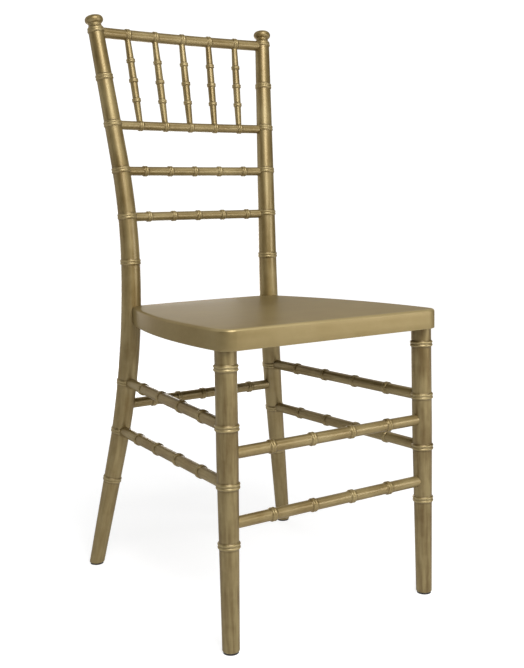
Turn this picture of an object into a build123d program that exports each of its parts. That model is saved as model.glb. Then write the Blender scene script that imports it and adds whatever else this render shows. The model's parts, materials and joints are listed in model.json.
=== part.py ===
from build123d import *
import os
from math import asin, atan2, ceil, cos, hypot, radians, sin, sqrt, tan

# A moulded resin banquet chair with bamboo-like rings. Lengths are in millimetres.
# The chair faces -Y and +Z is up. The origin is on the floor, under the middle of its bounding box.
# Left and right are as seen from the front, so right is +X.
# Pieces on the right are modelled, and their left partners are mirrored about the YZ plane.

# Overall sizes
chair_height = 915.0          # floor to the top of the finials
chair_depth = 459.0           # front edge of the seat to the back of the rear feet
seat_height = 446.0           # floor to the top of the seat

# Rear posts
rear_foot_spread = 388.0      # between the rear foot centres on the floor
rear_post_spread = 267.8      # between the post centres at the seat
crest_post_spread = 318.2     # between the post centres at the collar under the finial
post_setback = 387.7          # front edge of the seat to the post centres at the seat
crest_recline = 40.7          # how far the collar lies behind the post at the seat
lower_knee_drop = 86.7        # seat top down to the corner of the lower bend
lower_bend_half = 162.0       # corner of the lower bend to either end of its arc
upper_bend_half = 84.0        # corner of the upper bend to either end of its arc
post_foot_diameter = 24.6
post_seat_diameter = 32.6     # from the upper side stretcher to the seat
post_back_diameter = 31.2     # at the lowest ring of the back
post_waist_diameter = 28.4    # where the upper bend ends
post_top_diameter = 25.0
foot_round = 2.0              # rounded lower edge of every leg

# Rings and finials
span_step = 20.0              # between the circles that guide a curved member's surface
groove_share = 0.45           # groove between the two beads, as a share of the beads' height
post_ring_proud = 1.4
post_ring_height = 8.6
post_ring_rise = 72.3         # seat top up to the lowest ring of the back
collar_step = 1.0             # how much further the collar is than the pitch of the rings below it
back_ring_count = 5           # rings of the back below the collar
finial_diameter = 29.8
finial_thickness = 15.8
finial_edge_radius = 6.2      # round of the finial's edge, between its two domes
finial_neck_diameter = 21.0
finial_neck = 7.9             # middle of the collar up to the underside of the finial

# Front legs
front_leg_spread = 340.7      # between the leg centres at the underside of the seat
front_foot_spread = 350.6     # between the leg centres on the floor
front_leg_setback = 24.4      # front edge of the seat to the leg centres
front_leg_diameter = 30.0
front_foot_diameter = 24.3
front_taper_height = 265.0    # the leg narrows from here down
leg_ring_proud = 2.0
leg_ring_height = 9.2
leg_top_ring_drop = 24.0      # underside of the seat down to the highest ring
foot_ring_height = 151.8      # floor up to the lowest ring of all four legs

# Cross rails of the back
crest_rail_diameter = 17.0
back_rail_diameter = 14.6
rail_bow = 7.5                # how far the rails curve to the rear in the middle
crest_drop = 3.3              # collar down to the centre of the crest rail
rail_drop = 1.4               # post ring down to the centre of the rail beside it
rail_ring_count = 5
crest_ring_pitch = 51.4
rail_ring_pitch = 47.6
rail_ring_proud = 1.5
rail_ring_height = 8.0

# Spindles, one from each ring of the crest rail to a ring of the rail below
spindle_top_diameter = 9.6
spindle_middle_diameter = 12.4
spindle_bottom_diameter = 9.6
spindle_ring_count = 3
spindle_ring_pitch = 32.6
spindle_ring_proud = 1.6
spindle_ring_height = 6.4

# Stretchers between the legs
stretcher_diameter = 16.6
stretcher_ring_proud = 1.7
stretcher_ring_height = 8.6
front_upper_height = 276.5
front_lower_height = 180.5
front_ring_pitch = 68.7
side_upper_height = 313.0     # at the front leg
side_upper_rise = 5.7         # from the front leg to the post
side_lower_height = 234.0
side_lower_rise = 2.2
side_ring_pitch = 74.8
long_ring_count = 4           # rings on each front and side stretcher
rear_stretcher_height = 280.5
rear_ring_pitch = 48.0
rear_ring_count = 5

# Round tenons in blind sockets
tenon_diameter = 9.0
tenon_clear = 1.5             # room between the ends of tenons that cross in one leg
spindle_tenon_diameter = 5.0
tenon_overlap = 6.0           # length of each tenon inside its own piece
fit_gap = 0.15                # around a tenon, a stem, a screw or a cap
end_gap = 0.4                 # past the end of a tenon, a stem, a screw or a cap
shoulder_gap = 0.12           # between a rod's hollowed end and the surface that it meets
joint_reach = 22.0            # length of surface, to either side, that a hollowed end is fitted to

# Seat
seat_front_width = 372.0      # corner to corner before the corners are rounded
seat_skirt = 28.9             # top of the seat to the underside of its skirt
seat_plate = 5.0
seat_wall = 4.0
seat_side_bow = 20.6          # how far each side curves out from a straight line
seat_rear_bow = 8.0
seat_corner_radius = 22.0
seat_rear_radius = 4.0
seat_edge_round = 3.5
seat_cope = 16.7              # how deep each post lies in the seat's rear corner
seat_corner_out = 1.8         # rear corner of the seat outside the post centre
seat_gap = 0.2                # between the seat and the posts
seat_rib = 2.6
seat_rib_lift = 7.0           # underside of the skirt up to the underside of the ribs
seat_rib_count = 4            # ribs each way

# Front leg tenons in the seat's bosses, and their lock screws
leg_tenon_diameter = 19.0
leg_tenon_drop = 1.0          # underside of the seat plate down to the top of the tenon
screw_height = 12.0           # underside of the skirt up to the lock screw
screw_diameter = 4.0
screw_head_diameter = 8.0
screw_head_height = 2.6
screw_head_round = 0.8
screw_slot = 1.2
screw_bite = 11.0             # length of the screw in the tenon
screw_flat = 1.6              # depth of the flat under the screw head, cut into the round boss

# Bolts that hold the posts to the seat
bolt_angle = 26.0             # degrees inwards from straight ahead
bolt_height = 15.0            # underside of the skirt up to the bolt
bolt_diameter = 6.0
bolt_head_diameter = 10.0
bolt_head_height = 6.0
bolt_socket_width = 5.0       # hexagon across flats
bolt_socket_depth = 3.0
bolt_depth = 30.0             # length of the bolt past the front of the post
cap_height = 3.0
cap_proud = 0.5               # how far the cap stands out of the post
insert_diameter = 9.0
insert_length = 16.0
insert_start = 5.0            # front of the post to the insert
block_wall = 5.0              # corner block around the insert
block_end = 4.0               # corner block past the end of the bolt

# Floor glides
glide_height = 2.4
glide_inset = 1.3             # rim of the glide inside the rim of the foot
glide_stem_diameter = 8.0
glide_stem_length = 16.0

# Places that follow from the sizes above
seat_underside = seat_height - seat_skirt
plate_underside = seat_height - seat_plate
seat_front_y = -chair_depth / 2
front_leg_y = seat_front_y + front_leg_setback
post_x = rear_post_spread / 2
post_y = seat_front_y + post_setback
rear_foot_x = rear_foot_spread / 2
rear_foot_y = chair_depth / 2 - post_foot_diameter / 2
lower_knee = seat_height - lower_knee_drop
bend_meeting = lower_knee + lower_bend_half
upper_knee = bend_meeting + upper_bend_half
collar_height = chair_height - finial_thickness - finial_neck

# Below the seat the posts splay out and back to the feet, and above it they lean out and back.
splay_x = rear_foot_x - post_x
splay_y = rear_foot_y - post_y
splay = hypot(splay_x, splay_y)
splay_angle = atan2(splay, lower_knee)
lean_x = crest_post_spread / 2 - post_x
lean = hypot(lean_x, crest_recline)
lean_angle = atan2(lean, collar_height - upper_knee)
lower_radius = lower_bend_half / tan(splay_angle / 2)
upper_radius = upper_bend_half / tan(lean_angle / 2)
upper_bend_end = bend_meeting + upper_radius * sin(lean_angle)

# The rings of the back stand at an even pitch, and the rails of the back lie beside three of them.
first_back_ring = seat_height + post_ring_rise
back_ring_pitch = (collar_height - collar_step - first_back_ring) / back_ring_count
back_rings = [first_back_ring + back_ring_pitch * i for i in range(back_ring_count)]
lower_rail_height = back_rings[1] - rail_drop
middle_rail_height = back_rings[2] - rail_drop
spindle_rail_height = back_rings[3] - rail_drop
crest_rail_height = collar_height - crest_drop
side_upper_rear = side_upper_height + side_upper_rise
side_lower_rear = side_lower_height + side_lower_rise
post_rings = [foot_ring_height, side_lower_rear, side_upper_rear, *back_rings, collar_height]
leg_rings = [foot_ring_height, side_lower_height, side_upper_height, seat_underside - leg_top_ring_drop]

from_below = (Align.CENTER, Align.CENTER, Align.MIN)
from_above = (Align.CENTER, Align.CENTER, Align.MAX)


# Centre lines and radii of the legs

def bend(distance, radius, angle):
    """Sideways travel of a line that starts upright, follows an arc and then runs on straight."""
    arc_end = radius * sin(angle)
    if distance <= arc_end:
        return radius - sqrt(radius**2 - distance**2)
    return radius * (1 - cos(angle)) + (distance - arc_end) * tan(angle)


def post_point(z):
    """Centre of the right rear post at height z."""
    below = bend(max(bend_meeting - z, 0), lower_radius, splay_angle) / splay
    above = bend(max(z - bend_meeting, 0), upper_radius, lean_angle) / lean
    x = post_x + below * splay_x + above * lean_x
    y = post_y + below * splay_y + above * crest_recline
    return Vector(x, y, z)


def bend_slope(distance, radius, angle):
    """Sideways travel per distance of that line."""
    return tan(asin(min(distance / radius, sin(angle))))


def post_plane(z):
    """Plane square to the right rear post at height z."""
    below = bend_slope(max(bend_meeting - z, 0), lower_radius, splay_angle) / splay
    above = bend_slope(max(z - bend_meeting, 0), upper_radius, lean_angle) / lean
    along = Vector(above * lean_x - below * splay_x, above * crest_recline - below * splay_y, 1)
    return Plane(origin=post_point(z), x_dir=Vector(0, 1, 0).cross(along), z_dir=along)


def between(marks, z):
    """Value at z on straight lines through the marks, each a height and a value."""
    for (low, low_value), (high, high_value) in zip(marks, marks[1:]):
        if z < high:
            return low_value + (high_value - low_value) * max(z - low, 0) / (high - low)
    return marks[-1][1]


def post_radius(z):
    """Radius of the rear post's plain surface at height z."""
    marks = [
        (0, post_foot_diameter),
        (side_upper_rear, post_seat_diameter),
        (seat_height, post_seat_diameter),
        (first_back_ring, post_back_diameter),
        (upper_bend_end, post_waist_diameter),
        (collar_height, post_top_diameter),
    ]
    return between(marks, z) / 2


def leg_point(z):
    """Centre of the right front leg at height z."""
    spread = front_foot_spread + (front_leg_spread - front_foot_spread) * z / seat_underside
    return Vector(spread / 2, front_leg_y, z)


def leg_plane(z):
    """Plane square to the right front leg at height z."""
    return Plane(origin=leg_point(z), x_dir=(0, 1, 0), z_dir=leg_point(seat_height) - leg_point(0))


def leg_radius(z):
    """Radius of the front leg's plain surface at height z."""
    return between([(0, front_foot_diameter), (front_taper_height, front_leg_diameter)], z) / 2


# Turned shapes

def cylinder_between(start, end, radius):
    along = end - start
    return Plane(origin=start, z_dir=along) * Cylinder(radius, along.length, align=from_below)


def turned(outline):
    """Solid of revolution about Z, from an outline of (radius, height)."""
    return revolve(Plane.XZ * make_face(outline), Axis.Z)


def beads(low, high, z, proud, height):
    """Outline of a ring at height z: two beads and a groove, on a surface that goes from low to high."""
    half = height / 2
    radius = max(low, high)
    groove = (radius + proud * groove_share, z)
    return [
        ThreePointArc((low, z - half), (radius + proud, z - half / 2), groove),
        ThreePointArc(groove, (radius + proud, z + half / 2), (high, z + half)),
    ]


def turned_rod(radius_of, bottom, top, rings, proud, height):
    """Straight turned rod about Z, with its rings in the same outline."""
    outline = [Line((0, bottom), (radius_of(bottom), bottom))]
    for z in rings:
        low = radius_of(z - height / 2)
        high = radius_of(z + height / 2)
        outline.append(Line(outline[-1] @ 1, (low, z - height / 2)))
        outline += beads(low, high, z, proud, height)
    outline.append(Line(outline[-1] @ 1, (radius_of(top), top)))
    outline.append(Line((radius_of(top), top), (0, top)))
    outline.append(Line((0, top), (0, bottom)))
    return turned(outline)


def side_faces(solid):
    return [face for face in solid.faces() if face.geom_type != GeomType.PLANE]


def span_faces(plane_of, radius_of, start, end):
    """Surface of a plain stretch of a curved member, from one place and its plane to another."""
    (first, first_plane), (last, last_plane) = start, end
    steps = ceil((last - first) / span_step)
    middles = [first + (last - first) * i / steps for i in range(1, steps)]
    places = [(first, first_plane), *[(place, plane_of(place)) for place in middles], (last, last_plane)]
    return side_faces(loft([plane * Circle(radius_of(place)) for place, plane in places]))


def curved_rod(plane_of, radius_of, start, end, rings, proud, height):
    """Turned member along a curve. Its plain stretches and its rings share their end circles."""
    half = height / 2
    faces = [plane_of(start) * Circle(radius_of(start))]
    reached = (start, plane_of(start))
    for place in rings:
        plane = plane_of(place)
        low = radius_of(place - half)
        high = radius_of(place + half)
        faces += span_faces(plane_of, radius_of, reached, (place - half, plane.offset(-half)))
        ring = turned([
            Line((0, -half), (low, -half)),
            *beads(low, high, 0, proud, height),
            Line((high, half), (0, half)),
            Line((0, half), (0, -half)),
        ])
        faces += side_faces(plane * ring)
        reached = (place + half, plane.offset(half))
    if reached[0] < end:
        faces += span_faces(plane_of, radius_of, reached, (end, plane_of(end)))
        reached = (end, plane_of(end))
    faces.append(reached[1] * Circle(radius_of(reached[0])))
    return Solid(Shell([face.face() for face in faces]))


def spaced(count, pitch):
    """Distances from the middle of an even row."""
    return [(i - (count - 1) / 2) * pitch for i in range(count)]


def left_of(point):
    return Vector(-point.X, point.Y, point.Z)


def mirrored(piece):
    return mirror(piece, about=Plane.YZ)


def block(align):
    """Block larger than the chair is deep, for trimming a leg."""
    return Box(chair_depth, chair_depth, chair_depth, align=align)


# Joints between rods and turned members

class Joint:
    """Where a rod meets a turned member: the hollow for the rod's end, its tenon and the tenon's socket."""

    def __init__(self, point, toward, hollow, reach, diameter, stop):
        along = (toward - point).normalized()
        inner = point + along * stop
        outer = point + along * (reach + tenon_overlap)
        self.hollow = hollow
        self.tenon = cylinder_between(inner, outer, diameter / 2)
        self.socket = cylinder_between(inner - along * end_gap, outer, diameter / 2 + fit_gap)


def post_stretch(low, high, rings, gap=0.0):
    """Stretch of the right rear post between two heights, grown by the gap."""
    return curved_rod(post_plane, lambda z: post_radius(z) + gap, low, high, rings,
                      post_ring_proud, post_ring_height + 2 * gap)


def post_joint(z, toward):
    """Joint of a rod with the right rear post, fitted to the post's surface near height z."""
    rings = [ring for ring in post_rings if abs(ring - z) < joint_reach - post_ring_height]
    hollow = post_stretch(z - joint_reach, z + joint_reach, rings, shoulder_gap)
    reach = post_radius(z) + post_ring_proud
    return Joint(post_point(z), toward, hollow, reach, tenon_diameter, tenon_diameter / 2 + tenon_clear)


def leg_joint(z, toward):
    """Joint of a rod with the right front leg."""
    hollow = leg_body(shoulder_gap)
    reach = leg_radius(z) + leg_ring_proud
    return Joint(leg_point(z), toward, hollow, reach, tenon_diameter, tenon_diameter / 2 + tenon_clear)


def rail_joint(z, x, diameter, toward):
    """Joint of a spindle with a rail of the back, on the rail's ring at x."""
    radius = diameter / 2 + shoulder_gap
    hollow = turned_rod(lambda _: radius, -joint_reach, joint_reach, [0], rail_ring_proud,
                        rail_ring_height + 2 * shoulder_gap)
    plane = rail_plane(z, x)
    reach = radius + rail_ring_proud
    return Joint(plane.origin, toward, plane * hollow, reach, spindle_tenon_diameter, end_gap)


# Stretchers

def straight_rod(start, end, ring_count, pitch):
    """Round stretcher with an even row of rings about its middle."""
    half = (end - start).length / 2
    rings = spaced(ring_count, pitch)
    rod = turned_rod(lambda _: stretcher_diameter / 2, -half, half, rings,
                     stretcher_ring_proud, stretcher_ring_height)
    return Plane(origin=(start + end) / 2, z_dir=end - start) * rod


def cross_stretcher(point, joint, ring_count, pitch):
    """Stretcher along X from a right leg to its left partner."""
    rod = straight_rod(left_of(point), point, ring_count, pitch)
    rod = rod - joint.hollow - mirrored(joint.hollow)
    return rod + joint.tenon + mirrored(joint.tenon)


def side_stretcher(front_height, rear_height, front_joint, rear_joint):
    rod = straight_rod(leg_point(front_height), post_point(rear_height), long_ring_count, side_ring_pitch)
    rod = rod - front_joint.hollow - rear_joint.hollow
    return rod + front_joint.tenon + rear_joint.tenon


# Rails and spindles of the back

def rail_plane(z, x):
    """Plane square to the bowed rail at height z, where the rail passes x."""
    end = post_point(z)
    bow_radius = (end.X**2 + rail_bow**2) / (2 * rail_bow)
    centre_y = end.Y + rail_bow - bow_radius
    turn = sqrt(bow_radius**2 - x**2)
    return Plane(origin=(x, centre_y + turn, z), x_dir=(0, 0, 1), z_dir=(turn, -x, 0))


def rail_aim(z):
    """Point that the rail heads for as it leaves the right post."""
    plane = rail_plane(z, post_point(z).X)
    return plane.origin - plane.z_dir


def bowed_rail(z, diameter, pitch, joint, spindle_joints):
    end = post_point(z).X
    rail = curved_rod(lambda x: rail_plane(z, x), lambda _: diameter / 2, -end, end,
                      spaced(rail_ring_count, pitch), rail_ring_proud, rail_ring_height)
    rail = rail - joint.hollow - mirrored(joint.hollow)
    rail = rail + joint.tenon + mirrored(joint.tenon)
    return rail - [spindle_joint.socket for spindle_joint in spindle_joints]


def spindle(top, bottom, top_joint, bottom_joint):
    """Slender turned spindle, fullest in the middle."""
    half = (top - bottom).length / 2
    marks = [(-half, spindle_bottom_diameter), (0, spindle_middle_diameter), (half, spindle_top_diameter)]
    rings = spaced(spindle_ring_count, spindle_ring_pitch)
    rod = turned_rod(lambda z: between(marks, z) / 2, -half, half, rings,
                     spindle_ring_proud, spindle_ring_height)
    rod = Plane(origin=(top + bottom) / 2, z_dir=top - bottom) * rod
    return rod - top_joint.hollow - bottom_joint.hollow + top_joint.tenon + bottom_joint.tenon


# Bolts through the posts into the seat, their inserts and their cover caps

bolt_level = seat_underside + bolt_height
bolt_centre = post_point(bolt_level)
bolt_along = Vector(-sin(radians(bolt_angle)), -cos(radians(bolt_angle)), 0)
bolt_post_radius = post_radius(bolt_level)
cap_face = -bolt_post_radius - cap_proud
head_back = cap_face + cap_height + end_gap
head_front = head_back + bolt_head_height
bolt_tip = bolt_post_radius + bolt_depth
insert_back = bolt_post_radius + insert_start
insert_front = insert_back + insert_length


def on_bolt(start, end, diameter, gap=0.0):
    """Cylinder on the bolt's line, its ends counted forwards from the post's centre."""
    first = bolt_centre + bolt_along * start
    last = bolt_centre + bolt_along * end
    return cylinder_between(first, last, diameter / 2 + gap)


def rear_bolt():
    bolt = on_bolt(head_back, head_front, bolt_head_diameter) + on_bolt(head_front, bolt_tip, bolt_diameter)
    hexagon = RegularPolygon(bolt_socket_width / 2, 6, major_radius=False)
    recess = extrude(hexagon, bolt_socket_depth)
    return bolt - Plane(origin=bolt_centre + bolt_along * head_back, z_dir=bolt_along) * recess


def cover_cap():
    cap = on_bolt(cap_face, cap_face + cap_height, bolt_head_diameter)
    outer_face = cap.faces().sort_by(Axis(tuple(bolt_centre), tuple(bolt_along)))[0]
    return fillet(outer_face.edges(), cap_proud)


def seat_insert():
    insert = on_bolt(insert_back, insert_front, insert_diameter)
    return insert - on_bolt(insert_back, insert_front, bolt_diameter, fit_gap)


def post_bolt_cuts():
    return [
        on_bolt(-post_seat_diameter, head_front, bolt_head_diameter, fit_gap),
        on_bolt(head_front, bolt_tip, bolt_diameter, fit_gap),
    ]


def seat_bolt_cuts():
    return [
        on_bolt(0, bolt_tip + end_gap, bolt_diameter, fit_gap),
        on_bolt(insert_back, insert_front, insert_diameter, fit_gap),
    ]


# Screws that lock the front leg tenons in the seat's bosses

screw_centre = leg_point(seat_underside + screw_height)
boss_radius = front_leg_diameter / 2
screw_seat = boss_radius - screw_flat
screw_tip = leg_tenon_diameter / 2 - screw_bite


def on_screw(start, end, diameter, gap=0.0):
    """Cylinder on the lock screw's line, its ends counted to the rear from the leg's centre."""
    back = Vector(0, 1, 0)
    return cylinder_between(screw_centre + back * start, screw_centre + back * end, diameter / 2 + gap)


def leg_screw():
    head_end = screw_seat + screw_head_height
    head = on_screw(screw_seat, head_end, screw_head_diameter)
    head = fillet(head.edges().group_by(Axis.Y)[-1], screw_head_round)
    slot = Box(screw_head_diameter, screw_head_height, screw_slot)
    head -= Pos(*screw_centre) * Pos(0, head_end, 0) * slot
    return head + on_screw(screw_tip, screw_seat, screw_diameter)


def screw_hole():
    return on_screw(screw_tip - end_gap, screw_seat, screw_diameter, fit_gap)


def screw_head_room():
    return on_screw(screw_seat, screw_seat + front_leg_diameter, screw_head_diameter, fit_gap)


# Floor glides

def floor_glide(foot, along, foot_radius):
    """Disc under a foot, with a stem up the middle of the leg."""
    disc = Pos(foot.X, foot.Y, 0) * Cylinder(foot_radius - glide_inset, glide_height, align=from_below)
    top = foot + along * glide_stem_length
    stem = cylinder_between(foot - along * glide_stem_diameter, top, glide_stem_diameter / 2)
    stem -= Pos(foot.X, foot.Y, glide_height / 2) * block(from_above)
    return disc + stem


def glide_bore(foot, along):
    top = foot + along * (glide_stem_length + end_gap)
    return cylinder_between(foot - along * glide_stem_diameter, top, glide_stem_diameter / 2 + fit_gap)


# Legs

def rear_post(cuts):
    post = post_stretch(-post_foot_diameter, collar_height + post_ring_height / 2, post_rings)
    post -= Pos(rear_foot_x, rear_foot_y, glide_height) * block(from_above)
    post = fillet(post.edges().group_by(Axis.Z)[0], foot_round)
    return post + finial() - cuts


def finial():
    """Flattened ball on a flared neck, above the collar: two shallow domes and a round edge."""
    half = finial_thickness / 2
    middle = finial_neck + half
    edge_x = finial_diameter / 2 - finial_edge_radius
    dome_radius = (edge_x**2 + half**2 - finial_edge_radius**2) / (2 * (half - finial_edge_radius))
    outward = Vector(edge_x, dome_radius - half).normalized() * finial_edge_radius
    rim = finial_diameter / 2
    outline = [
        RadiusArc((0, middle - half), (edge_x + outward.X, middle - outward.Y), -dome_radius),
        ThreePointArc(
            (edge_x + outward.X, middle - outward.Y),
            (rim, middle),
            (edge_x + outward.X, middle + outward.Y),
        ),
        RadiusArc((edge_x + outward.X, middle + outward.Y), (0, middle + half), -dome_radius),
        Line((0, middle + half), (0, middle - half)),
    ]
    neck = Cylinder(finial_neck_diameter / 2, middle, align=from_below)
    neck += Cone(post_top_diameter / 2, finial_neck_diameter / 2, finial_neck, align=from_below)
    return post_plane(collar_height) * (turned(outline) + neck)


def leg_body(gap=0.0):
    """Right front leg from under the floor to inside the seat, grown by the gap."""
    foot = leg_point(0)
    stretch = (leg_point(seat_underside) - foot).length / seat_underside
    body = turned_rod(lambda z: leg_radius(z / stretch) + gap, -front_foot_diameter, seat_height,
                      [z * stretch for z in leg_rings], leg_ring_proud, leg_ring_height + 2 * gap)
    return leg_plane(0) * body


def front_leg(cuts):
    leg = leg_body()
    leg -= Pos(*leg_point(glide_height)) * block(from_above)
    leg = fillet(leg.edges().group_by(Axis.Z)[0], foot_round)
    leg -= Pos(*leg_point(seat_underside)) * block(from_below)
    tenon = cylinder_between(
        leg_point(seat_underside - tenon_overlap),
        leg_point(plate_underside - leg_tenon_drop),
        leg_tenon_diameter / 2,
    )
    return leg + tenon - cuts


# Seat

def seat_outline(inset=0.0):
    """Plan of the seat: straight front, bowed sides, and a bowed rear edge between the posts."""
    front_x = seat_front_width / 2
    rear_x = post_x + seat_corner_out
    rear_y = post_y - post_seat_diameter / 2 + seat_cope
    side = Vector(rear_x - front_x, rear_y - seat_front_y)
    outward = Vector(side.Y, -side.X).normalized()
    side_middle = Vector((front_x + rear_x) / 2, (seat_front_y + rear_y) / 2) + outward * seat_side_bow
    plan = make_face([
        Line((-front_x, seat_front_y), (front_x, seat_front_y)),
        ThreePointArc((front_x, seat_front_y), side_middle, (rear_x, rear_y)),
        ThreePointArc((rear_x, rear_y), (0, rear_y + seat_rear_bow), (-rear_x, rear_y)),
        ThreePointArc((-rear_x, rear_y), left_of(side_middle), (-front_x, seat_front_y)),
    ])
    if inset:
        plan = offset(plan, -inset)
    plan = fillet(plan.vertices().group_by(Axis.Y)[0], seat_corner_radius - inset)
    return fillet(plan.vertices().group_by(Axis.Y)[-1], seat_rear_radius)


def leg_boss():
    """Round boss above the front leg, which the leg's shoulder meets."""
    return cylinder_between(leg_point(seat_underside - seat_plate), leg_point(plate_underside), boss_radius)


def leg_socket():
    top = leg_point(plate_underside - leg_tenon_drop + end_gap)
    return cylinder_between(leg_point(seat_underside - seat_plate), top, leg_tenon_diameter / 2 + fit_gap)


def corner_block():
    """Block at the seat's rear corner, along the bolt."""
    width = insert_diameter + 2 * block_wall
    length = bolt_tip + end_gap + block_end
    body = Box(width, length, seat_skirt, align=(Align.CENTER, Align.MAX, Align.MIN))
    return Pos(bolt_centre.X, bolt_centre.Y, seat_underside) * Rot(0, 0, -bolt_angle) * body


def seat_ribs(pocket):
    """Grid of ribs under the seat plate."""
    room = pocket.bounding_box()
    middle = room.center()
    rib_middle = middle + Vector(0, 0, seat_rib_lift / 2)
    height = room.size.Z - seat_rib_lift
    ribs = [
        Pos(*(rib_middle + Vector(x, 0, 0))) * Box(seat_rib, room.size.Y, height)
        for x in spaced(seat_rib_count, room.size.X / (seat_rib_count + 1))
    ]
    ribs += [
        Pos(*(rib_middle + Vector(0, y, 0))) * Box(room.size.X, seat_rib, height)
        for y in spaced(seat_rib_count, room.size.Y / (seat_rib_count + 1))
    ]
    return ribs


def post_cope(gap):
    """The post beside the seat, grown by the gap."""
    return post_stretch(seat_underside - seat_plate, seat_height + seat_plate, [], gap)


def seat_shell():
    slab = Pos(0, 0, seat_underside) * extrude(seat_outline(), seat_skirt)
    pocket = Pos(0, 0, seat_underside) * extrude(seat_outline(seat_wall), seat_skirt - seat_plate)
    ribs = seat_ribs(pocket)
    fillings = [leg_boss(), corner_block(), post_cope(seat_gap + seat_wall)]
    fillings += [mirrored(filling) for filling in fillings]
    shell = slab - pocket
    shell += [filling & slab for filling in fillings]
    shell += [rib & pocket for rib in ribs]
    shell = fillet(shell.edges().group_by(Axis.Z)[-1], seat_edge_round)
    cuts = [leg_socket(), screw_hole(), screw_head_room(), post_cope(seat_gap), *seat_bolt_cuts()]
    return shell - cuts - [mirrored(cut) for cut in cuts]


# Joints that more than one piece is shaped by

side_upper_front_joint = leg_joint(side_upper_height, post_point(side_upper_rear))
side_upper_rear_joint = post_joint(side_upper_rear, leg_point(side_upper_height))
side_lower_front_joint = leg_joint(side_lower_height, post_point(side_lower_rear))
side_lower_rear_joint = post_joint(side_lower_rear, leg_point(side_lower_height))
front_upper_joint = leg_joint(front_upper_height, left_of(leg_point(front_upper_height)))
front_lower_joint = leg_joint(front_lower_height, left_of(leg_point(front_lower_height)))
rear_joint = post_joint(rear_stretcher_height, left_of(post_point(rear_stretcher_height)))
crest_joint = post_joint(crest_rail_height, rail_aim(crest_rail_height))
spindle_rail_joint = post_joint(spindle_rail_height, rail_aim(spindle_rail_height))
middle_rail_joint = post_joint(middle_rail_height, rail_aim(middle_rail_height))
lower_rail_joint = post_joint(lower_rail_height, rail_aim(lower_rail_height))

spindle_tops = [rail_plane(crest_rail_height, x).origin for x in spaced(rail_ring_count, crest_ring_pitch)]
spindle_feet = [rail_plane(spindle_rail_height, x).origin for x in spaced(rail_ring_count, rail_ring_pitch)]
spindle_top_joints = [
    rail_joint(crest_rail_height, top.X, crest_rail_diameter, foot)
    for top, foot in zip(spindle_tops, spindle_feet)
]
spindle_foot_joints = [
    rail_joint(spindle_rail_height, foot.X, back_rail_diameter, top)
    for top, foot in zip(spindle_tops, spindle_feet)
]

rear_foot = post_point(glide_height)
rear_foot_along = post_plane(glide_height).z_dir
front_foot = leg_point(glide_height)
front_foot_along = leg_plane(glide_height).z_dir


# The chair, piece by piece

post_joints = [side_upper_rear_joint, side_lower_rear_joint, rear_joint, crest_joint,
               spindle_rail_joint, middle_rail_joint, lower_rail_joint]
leg_joints = [side_upper_front_joint, side_lower_front_joint, front_upper_joint, front_lower_joint]

pairs = {
    "rear_post": rear_post([joint.socket for joint in post_joints]
                           + [glide_bore(rear_foot, rear_foot_along), *post_bolt_cuts()]),
    "front_leg": front_leg([joint.socket for joint in leg_joints]
                           + [glide_bore(front_foot, front_foot_along), screw_hole()]),
    "upper_side_stretcher": side_stretcher(side_upper_height, side_upper_rear,
                                           side_upper_front_joint, side_upper_rear_joint),
    "lower_side_stretcher": side_stretcher(side_lower_height, side_lower_rear,
                                           side_lower_front_joint, side_lower_rear_joint),
    "rear_glide": floor_glide(rear_foot, rear_foot_along, post_radius(glide_height)),
    "front_glide": floor_glide(front_foot, front_foot_along, leg_radius(glide_height)),
}
fastener_pairs = {
    "seat_rear_bolts": rear_bolt(),
    "bolt_cover_caps": cover_cap(),
    "seat_inserts": seat_insert(),
    "front_leg_screws": leg_screw(),
}
pieces = {
    "seat_shell": seat_shell(),
    "crest_rail": bowed_rail(crest_rail_height, crest_rail_diameter, crest_ring_pitch,
                             crest_joint, spindle_top_joints),
    "spindle_rail": bowed_rail(spindle_rail_height, back_rail_diameter, rail_ring_pitch,
                               spindle_rail_joint, spindle_foot_joints),
    "middle_back_rail": bowed_rail(middle_rail_height, back_rail_diameter, rail_ring_pitch,
                                   middle_rail_joint, []),
    "lower_back_rail": bowed_rail(lower_rail_height, back_rail_diameter, rail_ring_pitch,
                                  lower_rail_joint, []),
    "front_upper_stretcher": cross_stretcher(leg_point(front_upper_height), front_upper_joint,
                                             long_ring_count, front_ring_pitch),
    "front_lower_stretcher": cross_stretcher(leg_point(front_lower_height), front_lower_joint,
                                             long_ring_count, front_ring_pitch),
    "rear_stretcher": cross_stretcher(post_point(rear_stretcher_height), rear_joint,
                                      rear_ring_count, rear_ring_pitch),
}
for i in range(rail_ring_count):
    pieces[f"back_spindle_{i + 1}"] = spindle(
        spindle_tops[i], spindle_feet[i], spindle_top_joints[i], spindle_foot_joints[i])
for name, piece in pairs.items():
    pieces[f"right_{name}"] = piece
    pieces[f"left_{name}"] = mirrored(piece)
for name, piece in fastener_pairs.items():
    pieces[name] = Compound(children=[piece, mirrored(piece)])

os.makedirs("parts", exist_ok=True)
for name, piece in pieces.items():
    export_step(piece, f"parts/{name}.step")
print(len(pieces), "pieces, bends of radius", round(lower_radius), "and", round(upper_radius))
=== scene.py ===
import bpy
import bmesh
import json
import math
import numpy as np
from mathutils import Matrix, Vector

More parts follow.
